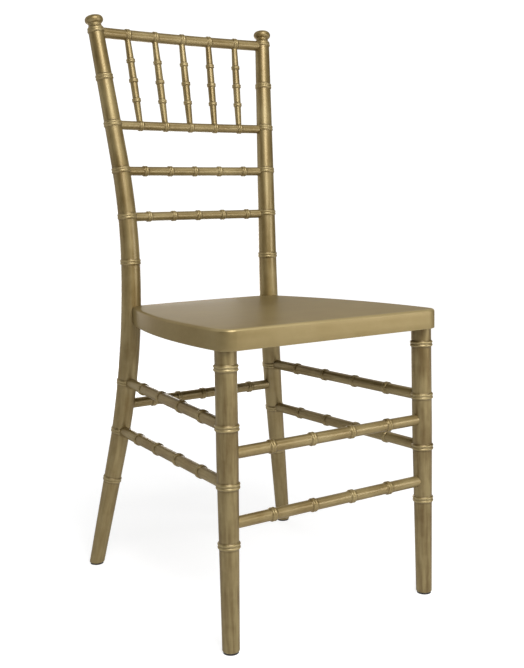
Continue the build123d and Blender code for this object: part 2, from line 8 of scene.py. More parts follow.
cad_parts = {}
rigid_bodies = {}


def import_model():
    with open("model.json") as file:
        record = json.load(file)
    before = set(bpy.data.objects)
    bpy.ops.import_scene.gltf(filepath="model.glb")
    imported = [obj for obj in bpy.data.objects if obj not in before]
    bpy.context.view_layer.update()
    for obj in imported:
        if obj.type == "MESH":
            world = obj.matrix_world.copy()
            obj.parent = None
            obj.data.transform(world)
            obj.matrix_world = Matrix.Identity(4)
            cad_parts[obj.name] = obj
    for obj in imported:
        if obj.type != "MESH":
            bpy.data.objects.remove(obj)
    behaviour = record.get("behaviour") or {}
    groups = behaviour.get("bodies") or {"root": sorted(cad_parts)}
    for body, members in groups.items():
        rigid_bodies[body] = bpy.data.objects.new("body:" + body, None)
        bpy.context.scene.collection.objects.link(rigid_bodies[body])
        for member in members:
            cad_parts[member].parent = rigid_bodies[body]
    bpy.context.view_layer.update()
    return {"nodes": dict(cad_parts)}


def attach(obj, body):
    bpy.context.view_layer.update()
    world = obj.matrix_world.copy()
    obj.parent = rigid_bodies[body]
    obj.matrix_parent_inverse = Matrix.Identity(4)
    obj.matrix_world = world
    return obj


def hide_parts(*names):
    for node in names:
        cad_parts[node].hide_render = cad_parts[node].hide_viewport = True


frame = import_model()
mm = 0.001  # the sizes below are in millimetres, the scene is in metres
print("frame loaded,", len(frame["nodes"]), "nodes")

# the chair's main measures, shared by the pieces below
chair = {"height": 915.0, "depth": 459.0, "seatTop": 446.0, "skirt": 28.9}
chair["front"] = -chair["depth"] / 2
chair["seatUnder"] = chair["seatTop"] - chair["skirt"]


# small helpers for building node trees
def addNode(tree, kind, label=None, **settings):
    node = tree.nodes.new(kind)
    if label:
        node.label = label
    for key, value in settings.items():
        setattr(node, key, value)
    return node


def addMath(tree, operation, first, second=None, clamp=False):
    node = addNode(tree, "ShaderNodeMath", operation=operation, use_clamp=clamp)
    for socket, value in zip(node.inputs, (first, second)):
        if value is None:
            continue
        if isinstance(value, (int, float)):
            socket.default_value = value
        else:
            tree.links.new(value, socket)
    return node.outputs[0]


def addSocket(tree, name, kind, direction="INPUT", value=None):
    socket = tree.interface.new_socket(name, in_out=direction, socket_type="NodeSocket" + kind)
    if value is not None:
        socket.default_value = value
    return socket.identifier


def addFloatCurve(tree, source, points):
    node = addNode(tree, "ShaderNodeFloatCurve")
    curve = node.mapping.curves[0]
    curve.points[0].location = points[0]
    curve.points[1].location = points[-1]
    for x, y in points[1:-1]:
        curve.points.new(x, y)
    node.mapping.update()
    tree.links.new(source, node.inputs["Value"])
    return node.outputs[0]


# paint and other finishes
sprayGrain = {
    "cloudScale": 14.0, "cloudDetail": 5.0, "cloudRoughness": 0.62, "flakeScale": 1400.0, "flakeDetail": 2.0,
    "streakScale": 2.4, "streakDetail": 3.0, "noiseRange": (0.3, 0.7),
}


def buildMottleGroup():
    # soft cloudy unevenness of sprayed paint, its lengthwise streaks and the fine grain of its metal flakes
    tree = bpy.data.node_groups.new("paintMottle", "ShaderNodeTree")
    addSocket(tree, "Cloud Scale", "Float", value=sprayGrain["cloudScale"])
    addSocket(tree, "Flake Scale", "Float", value=sprayGrain["flakeScale"])
    addSocket(tree, "Cloud", "Float", "OUTPUT")
    addSocket(tree, "Flake", "Float", "OUTPUT")
    addSocket(tree, "Streak", "Float", "OUTPUT")
    inputs = addNode(tree, "NodeGroupInput")
    outputs = addNode(tree, "NodeGroupOutput")
    place = addNode(tree, "ShaderNodeTexCoord").outputs["Object"]
    cloud = addNode(tree, "ShaderNodeTexNoise")
    cloud.inputs["Detail"].default_value = sprayGrain["cloudDetail"]
    cloud.inputs["Roughness"].default_value = sprayGrain["cloudRoughness"]
    tree.links.new(place, cloud.inputs["Vector"])
    tree.links.new(inputs.outputs["Cloud Scale"], cloud.inputs["Scale"])
    flake = addNode(tree, "ShaderNodeTexNoise")
    flake.inputs["Detail"].default_value = sprayGrain["flakeDetail"]
    tree.links.new(place, flake.inputs["Vector"])
    tree.links.new(inputs.outputs["Flake Scale"], flake.inputs["Scale"])
    grain = addNode(tree, "ShaderNodeAttribute", attribute_name="grain")  # drawn out along each piece
    streak = addNode(tree, "ShaderNodeTexNoise")
    streak.inputs["Scale"].default_value = sprayGrain["streakScale"]
    streak.inputs["Detail"].default_value = sprayGrain["streakDetail"]
    tree.links.new(grain.outputs["Vector"], streak.inputs["Vector"])
    tree.links.new(cloud.outputs["Fac"], outputs.inputs["Cloud"])
    tree.links.new(flake.outputs["Fac"], outputs.inputs["Flake"])
    tree.links.new(streak.outputs["Fac"], outputs.inputs["Streak"])
    return tree


def buildShadeAndHighlightGroup():
    # painted shade in the grooves and at the rings' roots, and painted highlights on their crowns and edges,
    # from the piece's own attributes
    tree = bpy.data.node_groups.new("paintedShadeAndHighlight", "ShaderNodeTree")
    addSocket(tree, "Color", "Color", value=(0.5, 0.5, 0.5, 1))
    addSocket(tree, "Painted Shade Color", "Color", value=(0.1, 0.08, 0.05, 1))
    addSocket(tree, "Painted Highlight Color", "Color", value=(0.7, 0.6, 0.4, 1))
    addSocket(tree, "Painted Shade Amount", "Float", value=0.6)
    addSocket(tree, "Painted Highlight Amount", "Float", value=0.3)
    addSocket(tree, "Color", "Color", "OUTPUT")
    inputs = addNode(tree, "NodeGroupInput")
    outputs = addNode(tree, "NodeGroupOutput")
    grooveShade = addNode(tree, "ShaderNodeAttribute", attribute_name="grooveShade")
    crown = addNode(tree, "ShaderNodeAttribute", attribute_name="crown")
    dark = addMath(tree, "MULTIPLY", grooveShade.outputs["Fac"], inputs.outputs["Painted Shade Amount"], clamp=True)
    light = addMath(tree, "MULTIPLY", crown.outputs["Fac"], inputs.outputs["Painted Highlight Amount"], clamp=True)
    first = addNode(tree, "ShaderNodeMix", data_type="RGBA")
    tree.links.new(dark, first.inputs["Factor"])
    tree.links.new(inputs.outputs["Color"], first.inputs["A"])
    tree.links.new(inputs.outputs["Painted Shade Color"], first.inputs["B"])
    second = addNode(tree, "ShaderNodeMix", data_type="RGBA")
    tree.links.new(light, second.inputs["Factor"])
    tree.links.new(first.outputs["Result"], second.inputs["A"])
    tree.links.new(inputs.outputs["Painted Highlight Color"], second.inputs["B"])
    tree.links.new(second.outputs["Result"], outputs.inputs["Color"])
    return tree


mottleGroup = buildMottleGroup()
shadeAndHighlightGroup = buildShadeAndHighlightGroup()

goldPaint = {
    "deep": (0.190, 0.130, 0.046, 1), "pale": (0.310, 0.240, 0.110, 1), "streak": 0.60,
    # painted shade in the rings' grooves: its colour and strength
    "grooveShade": (0.090, 0.058, 0.022, 1), "grooveShadeAmount": 0.35,
    # painted highlight on the rings' crowns and the seat's edges: its colour and strength
    "crown": (0.480, 0.385, 0.190, 1), "paintedHighlightAmount": 0.45,
    "metallic": 0.66, "edgeTint": (0.45, 0.36, 0.24, 1), "roughness": (0.45, 0.53), "specular": 0.0,
    "coat": 0.45, "coatRoughness": 0.32, "bump": 0.03, "bumpDistance": 0.4 * mm,
}
# the legs' paint is browner and more streaked, and darker as a painted shade; the seat's is calmer
shadedLegPaint = {**goldPaint, "deep": (0.140, 0.092, 0.031, 1), "pale": (0.275, 0.212, 0.095, 1), "streak": 0.90}
seatPaint = {
    **goldPaint, "deep": (0.222, 0.165, 0.069, 1), "pale": (0.276, 0.213, 0.098, 1), "streak": 0.25,
    "coat": 0.26, "coatRoughness": 0.36,
}
glidePlastic = {
    "dark": (0.012, 0.011, 0.010, 1), "light": (0.030, 0.027, 0.024, 1),
    "metallic": 0.0, "roughness": (0.45, 0.65), "cloudScale": 90.0,
}
zincSteel = {
    "dark": (0.50, 0.50, 0.48, 1), "light": (0.62, 0.62, 0.60, 1),
    "metallic": 1.0, "roughness": (0.25, 0.42), "cloudScale": 220.0,
}
insertBrass = {
    "dark": (0.48, 0.34, 0.11, 1), "light": (0.60, 0.45, 0.18, 1),
    "metallic": 1.0, "roughness": (0.25, 0.40), "cloudScale": 220.0,
}


def mixColors(tree, factor, first, second):
    node = addNode(tree, "ShaderNodeMix", data_type="RGBA")
    tree.links.new(factor, node.inputs["Factor"])
    for socket, value in ((node.inputs["A"], first), (node.inputs["B"], second)):
        if isinstance(value, tuple):
            socket.default_value = value
        else:
            tree.links.new(value, socket)
    return node.outputs["Result"]


def spread(tree, value, low, high):
    # the span that a noise mostly fills, stretched from low to high
    node = addNode(tree, "ShaderNodeMapRange")
    node.inputs["From Min"].default_value, node.inputs["From Max"].default_value = sprayGrain["noiseRange"]
    node.inputs["To Min"].default_value = low
    node.inputs["To Max"].default_value = high
    tree.links.new(value, node.inputs["Value"])
    return node.outputs[0]


def makeGoldPaint(name, look):
    material = bpy.data.materials.new(name)
    material.use_nodes = True
    tree = material.node_tree
    shader = tree.nodes["Principled BSDF"]
    mottle = addNode(tree, "ShaderNodeGroup", node_tree=mottleGroup)
    tone = addNode(tree, "ShaderNodeGroup", node_tree=shadeAndHighlightGroup)
    tone.inputs["Painted Shade Color"].default_value = look["grooveShade"]
    tone.inputs["Painted Highlight Color"].default_value = look["crown"]
    tone.inputs["Painted Shade Amount"].default_value = look["grooveShadeAmount"]
    tone.inputs["Painted Highlight Amount"].default_value = look["paintedHighlightAmount"]
    streaks = addMath(tree, "MULTIPLY", mottle.outputs["Streak"], look["streak"])
    blend = addMath(tree, "ADD", mottle.outputs["Cloud"], streaks)
    blend = addMath(tree, "SUBTRACT", blend, look["streak"] / 2)
    base = mixColors(tree, spread(tree, blend, 0.0, 1.0), look["deep"], look["pale"])
    tree.links.new(base, tone.inputs["Color"])
    tree.links.new(tone.outputs["Color"], shader.inputs["Base Color"])
    tree.links.new(spread(tree, mottle.outputs["Cloud"], *look["roughness"]), shader.inputs["Roughness"])
    shader.inputs["Metallic"].default_value = look["metallic"]
    shader.inputs["Specular IOR Level"].default_value = look["specular"]
    shader.inputs["Specular Tint"].default_value = look["edgeTint"]
    shader.inputs["Coat Weight"].default_value = look["coat"]
    shader.inputs["Coat Roughness"].default_value = look["coatRoughness"]
    bump = addNode(tree, "ShaderNodeBump")
    bump.inputs["Strength"].default_value = look["bump"]
    bump.inputs["Distance"].default_value = look["bumpDistance"]
    tree.links.new(mottle.outputs["Flake"], bump.inputs["Height"])
    tree.links.new(bump.outputs["Normal"], shader.inputs["Normal"])
    return material


def makePlainFinish(name, look):
    material = bpy.data.materials.new(name)
    material.use_nodes = True
    tree = material.node_tree
    shader = tree.nodes["Principled BSDF"]
    mottle = addNode(tree, "ShaderNodeGroup", node_tree=mottleGroup)
    mottle.inputs["Cloud Scale"].default_value = look["cloudScale"]
    base = mixColors(tree, spread(tree, mottle.outputs["Cloud"], 0.0, 1.0), look["dark"], look["light"])
    tree.links.new(base, shader.inputs["Base Color"])
    tree.links.new(spread(tree, mottle.outputs["Flake"], *look["roughness"]), shader.inputs["Roughness"])
    shader.inputs["Metallic"].default_value = look["metallic"]
    return material


goldFinish = makeGoldPaint("goldPaint", goldPaint)
shadedLegFinish = makeGoldPaint("shadedLegPaint", shadedLegPaint)
seatFinish = makeGoldPaint("seatPaint", seatPaint)
glideFinish = makePlainFinish("glidePlastic", glidePlastic)
steelFinish = makePlainFinish("zincSteel", zincSteel)
brassFinish = makePlainFinish("insertBrass", insertBrass)
print("finishes made:", len(bpy.data.materials))


# a ring's profile, and where its painted shade and painted highlight lie: 0 is its middle groove, 0.5 its
# edge, 1 half a height beyond it
ringProfile = {
    "swell": [(0.0, 1.0), (0.26, 1.0), (0.36, 0.90), (0.45, 0.50), (0.53, 0.12), (0.62, 0.0), (1.0, 0.0)],
    "groove": [(0.0, 1.0), (0.06, 0.80), (0.14, 0.22), (0.22, 0.0), (1.0, 0.0)],
    "dark": [(0.0, 0.0), (0.36, 0.0), (0.46, 0.5), (0.55, 1.0), (0.66, 0.5), (0.9, 0.0), (1.0, 0.0)],
    "paintedHighlight": [(0.0, 0.5), (0.10, 0.6), (0.20, 1.0), (0.28, 1.0), (0.40, 0.3), (0.5, 0.0), (1.0, 0.0)],
    "stopReach": 1.05, "stops": 15,  # close stops reach this many heights each way from a ring
}
# how fast the paint's streaks change along a member, and how far they move on from piece to piece
streakRun = {"perMetre": 7.0, "pieceShift": 3.7}


# a tree that turns a path into a round ringed member
def buildRingedRodTree():
    tree = bpy.data.node_groups.new("ringedRod", "GeometryNodeTree")
    addSocket(tree, "Geometry", "Geometry")
    names = {
        "proud": addSocket(tree, "Ring Proud", "Float", value=1.5 * mm),
        "height": addSocket(tree, "Ring Height", "Float", value=8.6 * mm),
        "groove": addSocket(tree, "Groove Depth", "Float", value=0.5),
        "crown": addSocket(tree, "Painted Highlight Strength", "Float", value=1.0),
        "shift": addSocket(tree, "Grain Shift", "Float", value=0.0),
        "sides": addSocket(tree, "Sides", "Int", value=32),
        "finish": addSocket(tree, "Finish", "Material"),
    }
    addSocket(tree, "Geometry", "Geometry", "OUTPUT")
    inputs = addNode(tree, "NodeGroupInput")
    outputs = addNode(tree, "NodeGroupOutput")
    path = addNode(tree, "GeometryNodeMeshToCurve")
    tree.links.new(inputs.outputs["Geometry"], path.inputs[0])
    plain = addNode(tree, "GeometryNodeInputNamedAttribute", data_type="FLOAT")
    plain.inputs["Name"].default_value = "plainRadius"
    gap = addNode(tree, "GeometryNodeInputNamedAttribute", data_type="FLOAT")
    gap.inputs["Name"].default_value = "ringDistance"
    reach = addMath(tree, "DIVIDE", gap.outputs["Attribute"], inputs.outputs["Ring Height"], clamp=True)
    # the ring's swell and groove, its painted shade at its roots and deepened in the groove, and its painted
    # highlight on the crowns
    swell, groove, dark, paintedHighlight = (
        addFloatCurve(tree, reach, ringProfile[part]) for part in ("swell", "groove", "dark", "paintedHighlight")
    )
    cut = addMath(tree, "MULTIPLY", groove, inputs.outputs["Groove Depth"])
    swell = addMath(tree, "SUBTRACT", swell, cut)
    dark = addMath(tree, "ADD", dark, cut)
    # the painted highlight, scaled for each kind of member
    paintedHighlight = addMath(tree, "MULTIPLY", paintedHighlight, inputs.outputs["Painted Highlight Strength"])
    bead = addMath(tree, "MULTIPLY", swell, inputs.outputs["Ring Proud"])
    radius = addMath(tree, "ADD", plain.outputs["Attribute"], bead)

    def keep(geometry, name, value, kind="FLOAT"):
        store = addNode(tree, "GeometryNodeStoreNamedAttribute", data_type=kind, domain="POINT")
        store.inputs["Name"].default_value = name
        tree.links.new(geometry, store.inputs["Geometry"])
        tree.links.new(value, store.inputs["Value"])
        return store.outputs[0]

    def recall(name):
        node = addNode(tree, "GeometryNodeInputNamedAttribute", data_type="FLOAT")
        node.inputs["Name"].default_value = name
        return node.outputs["Attribute"]

    span = addNode(tree, "GeometryNodeSplineParameter")
    lengthwise = addMath(tree, "MULTIPLY", span.outputs["Length"], streakRun["perMetre"])
    lengthwise = addMath(tree, "ADD", lengthwise, inputs.outputs["Grain Shift"])
    geometry = path.outputs[0]
    for name, value in (("grooveShade", dark), ("crown", paintedHighlight), ("lengthwise", lengthwise)):
        geometry = keep(geometry, name, value)
    circle = addNode(tree, "GeometryNodeCurvePrimitiveCircle", mode="RADIUS")
    circle.inputs["Radius"].default_value = 1.0
    tree.links.new(inputs.outputs["Sides"], circle.inputs["Resolution"])
    skin = addNode(tree, "GeometryNodeCurveToMesh")
    skin.inputs["Fill Caps"].default_value = True
    tree.links.new(geometry, skin.inputs["Curve"])
    turn = addMath(tree, "MULTIPLY", span.outputs["Factor"], 2 * math.pi)
    tree.links.new(keep(circle.outputs["Curve"], "turn", turn), skin.inputs["Profile Curve"])
    tree.links.new(radius, skin.inputs["Scale"])
    # the paint's grain runs along the rod and has no seam round it
    across, around = (addMath(tree, operation, recall("turn")) for operation in ("COSINE", "SINE"))
    flow = addNode(tree, "ShaderNodeCombineXYZ")
    for socket, value in zip(flow.inputs, (across, around, recall("lengthwise"))):
        tree.links.new(value, socket)
    grained = keep(skin.outputs[0], "grain", flow.outputs[0], "FLOAT_VECTOR")
    smooth = addNode(tree, "GeometryNodeSetShadeSmooth")
    tree.links.new(grained, smooth.inputs["Geometry"])
    real = addNode(tree, "GeometryNodeRealizeInstances")
    tree.links.new(smooth.outputs[0], real.inputs[0])
    paint = addNode(tree, "GeometryNodeSetMaterial")
    tree.links.new(real.outputs[0], paint.inputs["Geometry"])
    tree.links.new(inputs.outputs["Finish"], paint.inputs["Material"])
    tree.links.new(paint.outputs[0], outputs.inputs[0])
    return tree, names


ringedRodTree, ringedRodInputs = buildRingedRodTree()


def settle(piece, nodes):
    # the piece stands for its CAD nodes and rides with the chair
    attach(piece, "root")
    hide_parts(*nodes)
    return piece


def addPiece(name, mesh):
    piece = bpy.data.objects.new(name, mesh)
    bpy.context.scene.collection.objects.link(piece)
    return piece


mergeGap = 0.001 * mm  # points closer than this are one


def outward(mesh):
    # merge doubles and turn the faces outwards
    work = bmesh.new()
    work.from_mesh(mesh)
    bmesh.ops.remove_doubles(work, verts=work.verts, dist=mergeGap)
    bmesh.ops.recalc_face_normals(work, faces=work.faces)
    if work.calc_volume(signed=True) < 0:
        bmesh.ops.reverse_faces(work, faces=work.faces)
    work.to_mesh(mesh)
    work.free()
    return mesh


def ringStops(start, end, rings, height, step, extra=()):
    # places along a member: even steps, and close ones over each ring
    stops = set(np.linspace(start, end, max(2, int((end - start) / step) + 1)))
    near, count = height * ringProfile["stopReach"], ringProfile["stops"]
    for ring in rings:
        stops = {s for s in stops if abs(s - ring) > near}
        stops |= {ring + near * i / count for i in range(-count, count + 1)}
    stops = {s for s in stops if start <= s <= end}
    return sorted(stops | set(extra) | {start, end})


def turnPiece(name, places, pointAt, radiusAt, rings, ring, sides, finish=goldFinish):
    # a ringed member through pointAt(place), all in millimetres
    mesh = bpy.data.meshes.new(name + "Path")
    points = [Vector(pointAt(place)) * mm for place in places]
    mesh.from_pydata(points, [(i, i + 1) for i in range(len(points) - 1)], [])
    plain = mesh.attributes.new("plainRadius", "FLOAT", "POINT")
    plain.data.foreach_set("value", [radiusAt(place) * mm for place in places])
    gap = mesh.attributes.new("ringDistance", "FLOAT", "POINT")
    gap.data.foreach_set("value", [min(abs(place - r) for r in rings) * mm for place in places])
    path = addPiece(name + "Path", mesh)
    modifier = path.modifiers.new("ringedRod", "NODES")
    modifier.node_group = ringedRodTree
    modifier[ringedRodInputs["proud"]] = ring["proud"] * mm
    modifier[ringedRodInputs["height"]] = ring["height"] * mm
    modifier[ringedRodInputs["groove"]] = ring["groove"]
    # how strong the painted highlight on this member's rings is
    modifier[ringedRodInputs["crown"]] = ring["crown"]
    # no two pieces are streaked alike
    modifier[ringedRodInputs["shift"]] = len(bpy.data.objects) * streakRun["pieceShift"]
    modifier[ringedRodInputs["sides"]] = sides
    modifier[ringedRodInputs["finish"]] = finish
    graph = bpy.context.evaluated_depsgraph_get()
    made = bpy.data.meshes.new_from_object(path.evaluated_get(graph))
    bpy.data.objects.remove(path)
    made.name = name
    return addPiece(name, outward(made))


footing = {"start": -10.0, "plainFrom": 11.0, "rimSegments": 4}


def standFlat(piece, foot):
    # cut the foot level above its glide and round its rim
    work = bmesh.new()
    work.from_mesh(piece.data)
    everything = work.verts[:] + work.edges[:] + work.faces[:]
    floorward = {"plane_co": (0, 0, foot["bottom"] * mm), "plane_no": (0, 0, -1)}
    bmesh.ops.bisect_plane(work, geom=everything, clear_outer=True, **floorward)
    rim = [e for e in work.edges if e.is_boundary]
    cap = bmesh.ops.edgeloop_fill(work, edges=rim)["faces"]
    rim = list(cap[0].edges)
    bmesh.ops.bevel(work, geom=rim, offset=foot["footRound"] * mm, segments=footing["rimSegments"],
                    profile=0.5, affect="EDGES")
    work.to_mesh(piece.data)
    work.free()
    outward(piece.data)
    return piece


def footedStops(stops):
    # nothing between a start under the floor and the plain leg above the foot
    return [footing["start"]] + [s for s in stops if s > footing["plainFrom"]]


def along(marks, z):
    # value at z between (place, value) marks
    places = [m[0] for m in marks]
    return float(np.interp(z, places, [m[1] for m in marks]))


# rear posts, one bent line each from the floor to the finial
post = {
    "footSpread": 388.0, "seatSpread": 267.8, "crestSpread": 318.2, "setback": 387.7, "recline": 40.7,
    "kneeDrop": 86.7, "lowerBend": 162.0, "upperBend": 84.0,
    "footDiameter": 24.6, "bottom": 2.4, "footRound": 2.0,
    "rings": [151.8, 236.2, 318.7], "firstBackRing": 518.3, "backRings": 5, "collarStep": 1.0,
    "ring": {"proud": 1.4, "height": 8.6, "groove": 0.45, "crown": 0.7},
    "neck": 7.9, "neckDiameter": 21.0, "ballDiameter": 29.8, "ballThickness": 15.8, "ballEdge": 6.2,
    "tipRadius": 0.15, "tipGap": 0.02, "neckFrom": 0.5, "domeTip": 0.3,
    "neckStops": 7, "edgeStops": 17, "domeStops": 9, "step": 9.0, "sides": 40,
}
post["x"] = post["seatSpread"] / 2
post["y"] = chair["front"] + post["setback"]
post["footY"] = chair["depth"] / 2 - post["footDiameter"] / 2
post["collar"] = chair["height"] - post["ballThickness"] - post["neck"]
backPitch = (post["collar"] - post["collarStep"] - post["firstBackRing"]) / post["backRings"]
backRings = [post["firstBackRing"] + backPitch * i for i in range(post["backRings"])]
post["rings"] = post["rings"] + backRings + [post["collar"]]
knee = chair["seatTop"] - post["kneeDrop"]
bendMeeting = knee + post["lowerBend"]
splayX, splayY = post["footSpread"] / 2 - post["x"], post["footY"] - post["y"]
splay = math.hypot(splayX, splayY)
splayAngle = math.atan2(splay, knee)
leanX = post["crestSpread"] / 2 - post["x"]
lean = math.hypot(leanX, post["recline"])
leanAngle = math.atan2(lean, post["collar"] - bendMeeting - post["upperBend"])
lowerRadius = post["lowerBend"] / math.tan(splayAngle / 2)
upperRadius = post["upperBend"] / math.tan(leanAngle / 2)


def bendTravel(distance, radius, angle):
    # sideways travel of a bend and the straight run after it
    end = radius * math.sin(angle)
    if distance <= end:
        return radius - math.sqrt(radius**2 - distance**2)
    return radius * (1 - math.cos(angle)) + (distance - end) * math.tan(angle)


def postPoint(z, side=1):
    below = bendTravel(max(bendMeeting - z, 0), lowerRadius, splayAngle) / splay
    above = bendTravel(max(z - bendMeeting, 0), upperRadius, leanAngle) / lean
    x = post["x"] + below * splayX + above * leanX
    return (side * x, post["y"] + below * splayY + above * post["recline"], z)


# height and radius of the plain post
postMarks = [
    (0, post["footDiameter"] / 2), (post["rings"][2], 16.3),
    (chair["seatTop"], 16.3), (post["firstBackRing"], 15.6),
    (600, 14.8), (689, 14.2), (790, 13.3), (post["collar"], 12.5),
]
ballMiddle = post["collar"] + post["neck"] + post["ballThickness"] / 2


def ballProfile():
    # the finial's two shallow domes and the round edge between them
    half, edge = post["ballThickness"] / 2, post["ballEdge"]
    inner = post["ballDiameter"] / 2 - edge
    dome = (inner**2 + half**2 - edge**2) / (2 * (half - edge))
    turn = edge * (dome - half) / math.hypot(inner, dome - half)
    return half, edge, inner, dome, turn


def ballRadius(z):
    half, edge, inner, dome, turn = ballProfile()
    away = abs(z - ballMiddle)
    if away <= turn:
        return inner + math.sqrt(edge**2 - away**2)
    return math.sqrt(max(dome**2 - (dome - half + away)**2, 0))


def postRadius(z):
    radius = along(postMarks, z)
    top = z - post["collar"]
    if top > 0:
        neckRadius = post["neckDiameter"] / 2
        radius += (neckRadius - radius) * min(top / post["neck"], 1)
        if abs(z - ballMiddle) < post["ballThickness"] / 2:
            radius = max(ballRadius(z), neckRadius) if z < ballMiddle else ballRadius(z)
    return max(radius, post["tipRadius"])


def finialStops():
    # places up the neck, round the ball's edge and over its upper dome
    half, _, inner, dome, turn = ballProfile()
    shares = np.linspace(post["neckFrom"], 1.0, post["neckStops"])
    angles = np.linspace(-math.pi / 2, math.pi / 2, post["edgeStops"])
    radii = np.linspace(inner, post["domeTip"], post["domeStops"])
    stops = [post["collar"] + post["neck"] * share for share in shares]
    stops += [ballMiddle + turn * math.sin(angle) for angle in angles]
    stops += [ballMiddle - dome + half + math.sqrt(dome**2 - radius**2) for radius in radii]
    return stops


postTop = chair["height"] - post["tipGap"]
postStops = ringStops(0.0, postTop, post["rings"], post["ring"]["height"], post["step"], finialStops())
postStops = footedStops(postStops)
for side, word in ((1, "right"), (-1, "left")):
    piece = turnPiece(word + "RearPost", postStops, lambda z: postPoint(z, side), postRadius,
                      post["rings"], post["ring"], post["sides"])
    settle(standFlat(piece, post), [word + "_rear_post"])
print("rear posts turned,", len(postStops), "stops")

# front legs, straight and slightly splayed
leg = {
    "topSpread": 340.7, "footSpread": 350.6, "setback": 24.4,
    "topDiameter": 30.0, "footDiameter": 24.3, "taperFrom": 265.0, "bottom": 2.4, "footRound": 2.0,
    "rings": [151.8, 234.0, 313.0, 393.1],
    "ring": {"proud": 2.0, "height": 9.2, "groove": 0.55, "crown": 1.0},
    "intoBoss": 18.0, "step": 20.0, "sides": 40,
}
legY = chair["front"] + leg["setback"]


def legPoint(z, side=1):
    spread = leg["footSpread"] + (leg["topSpread"] - leg["footSpread"]) * z / chair["seatUnder"]
    return (side * spread / 2, legY, z)


def legRadius(z):
    return along([(0, leg["footDiameter"] / 2), (leg["taperFrom"], leg["topDiameter"] / 2)], z)


legTop = chair["seatUnder"] + leg["intoBoss"]  # runs on into the seat's boss
legStops = footedStops(ringStops(0.0, legTop, leg["rings"], leg["ring"]["height"], leg["step"]))
# the front legs wear the darker leg paint, a painted shade
for side, word in ((1, "right"), (-1, "left")):
    piece = turnPiece(word + "FrontLeg", legStops, lambda z: legPoint(z, side), legRadius,
                      leg["rings"], leg["ring"], leg["sides"], shadedLegFinish)
    settle(standFlat(piece, leg), [word + "_front_leg"])
print("front legs turned")

# stretchers: straight rods with an even row of rings, their ends hidden in the legs
stretcher = {
    "diameter": 16.6, "ring": {"proud": 1.7, "height": 8.6, "groove": 0.30, "crown": 0.3},
    "frontHeights": {"upper": 276.5, "lower": 180.5}, "frontPitch": 68.7,
    "sideRings": {"upper": 2, "lower": 1},  # which ring of a leg and of a post each side stretcher meets
    "sidePitch": 74.8, "longRings": 4,
    "rearHeight": 280.5, "rearPitch": 48.0, "rearRings": 5, "endCut": 5.0, "step": 30.0, "sides": 28,
}


def evenRow(count, pitch, middle):
    return [middle + (i - (count - 1) / 2) * pitch for i in range(count)]


def turnStretcher(name, node, start, end, count, pitch):
    start, end = Vector(start), Vector(end)
    length = (end - start).length
    rings = evenRow(count, pitch, length / 2)
    first, last = stretcher["endCut"], length - stretcher["endCut"]
    stops = ringStops(first, last, rings, stretcher["ring"]["height"], stretcher["step"])
    piece = turnPiece(name, stops, lambda s: start.lerp(end, s / length),
                      lambda s: stretcher["diameter"] / 2, rings, stretcher["ring"], stretcher["sides"])
    settle(piece, [node])


for level, height in stretcher["frontHeights"].items():
    turnStretcher(f"front{level.title()}Stretcher", f"front_{level}_stretcher",
                  legPoint(height, -1), legPoint(height), stretcher["longRings"], stretcher["frontPitch"])
for level, k in stretcher["sideRings"].items():
    for side, word in ((1, "right"), (-1, "left")):
        turnStretcher(f"{word}{level.title()}SideStretcher", f"{word}_{level}_side_stretcher",
                      legPoint(leg["rings"][k], side), postPoint(post["rings"][k], side),
                      stretcher["longRings"], stretcher["sidePitch"])
rearEnds = [postPoint(stretcher["rearHeight"], side) for side in (-1, 1)]
turnStretcher("rearStretcher", "rear_stretcher", *rearEnds, stretcher["rearRings"], stretcher["rearPitch"])
print("stretchers turned")

# rails of the back: bowed to the rear, with a row of rings
rail = {
    "bow": 7.5, "rings": 5, "ring": {"proud": 1.5, "height": 8.0, "groove": 0.35, "crown": 0.5},
    "crest": {"diameter": 17.0, "pitch": 51.4}, "plain": {"diameter": 14.6, "pitch": 47.6},
    "crestDrop": 3.3, "drop": 1.4, "endCut": 5.0, "step": 10.0, "sides": 28,
}
railHeights = {
    "crestRail": post["collar"] - rail["crestDrop"], "spindleRail": backRings[3] - rail["drop"],
    "middleBackRail": backRings[2] - rail["drop"], "lowerBackRail": backRings[1] - rail["drop"],
}
railNodes = {
    "crestRail": "crest_rail", "spindleRail": "spindle_rail",
    "middleBackRail": "middle_back_rail", "lowerBackRail": "lower_back_rail",
}


def railPoint(z, x):
    endX, endY, _ = postPoint(z)
    radius = (endX**2 + rail["bow"]**2) / (2 * rail["bow"])
    return (x, endY + rail["bow"] - radius + math.sqrt(radius**2 - x**2), z)


for name, z in railHeights.items():
    kind = rail["crest"] if name == "crestRail" else rail["plain"]
    reach = postPoint(z)[0] - rail["endCut"]
    rings = evenRow(rail["rings"], kind["pitch"], 0.0)
    stops = ringStops(-reach, reach, rings, rail["ring"]["height"], rail["step"])
    piece = turnPiece(name, stops, lambda x: railPoint(z, x), lambda x: kind["diameter"] / 2,
                      rings, rail["ring"], rail["sides"])
    settle(piece, [railNodes[name]])
print("back rails turned")

